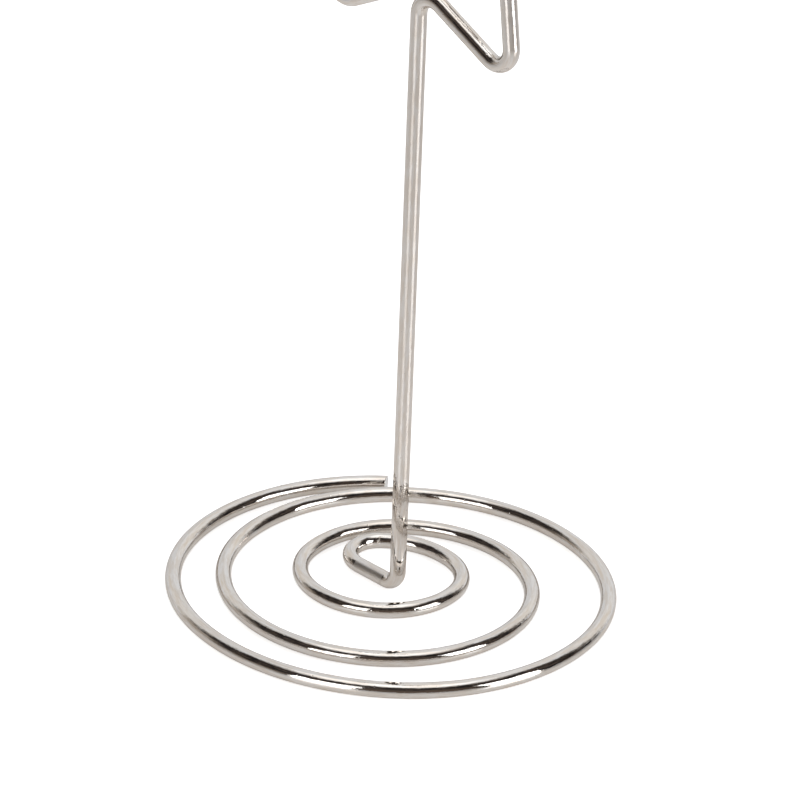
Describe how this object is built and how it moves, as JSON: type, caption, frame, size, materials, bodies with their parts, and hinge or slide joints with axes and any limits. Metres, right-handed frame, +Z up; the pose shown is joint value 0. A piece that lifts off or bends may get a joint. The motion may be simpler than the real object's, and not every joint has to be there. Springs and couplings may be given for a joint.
{
  "type": "place card holder",
  "caption": "Place card holder bent from round wire: flat spiral base, straight stem and a doubled star clip that grips a card.",
  "frame": {"origin": "on the table, under the axis of the stem", "axes": "+Z up along the stem, -Y towards the front of the star, +X to the right seen from the front"},
  "size_m": [0.0421, 0.0399, 0.0905],
  "materials": {
    "plated_wire": "polished nickel plate on steel wire"
  },
  "bodies": {
    "stand": {"outer_turn": "plated_wire", "middle_turn": "plated_wire", "inner_turn": "plated_wire", "centre_hook": "plated_wire", "spoke": "plated_wire", "foot_bend": "plated_wire", "stem": "plated_wire", "neck_bend": "plated_wire", "front_point_lower_right": "plated_wire", "front_point_upper_right": "plated_wire", "front_point_top": "plated_wire", "front_point_upper_left": "plated_wire", "front_point_lower_left": "plated_wire"},
    "back_star": {"back_point_lower_right": "plated_wire", "back_point_upper_right": "plated_wire", "back_point_top": "plated_wire", "back_point_upper_left": "plated_wire", "back_point_lower_left": "plated_wire"}
  },
  "joints": [
    {"name": "clip_flex", "type": "hinge", "parent": "stand", "child": "back_star", "pos_m": [0.00351, 0.00185, 0.06283], "axis": [-0.8939, -0.086, -0.4399], "range_deg": [0, 4], "stiffness_Nm_per_rad": 0.5}
  ]
}
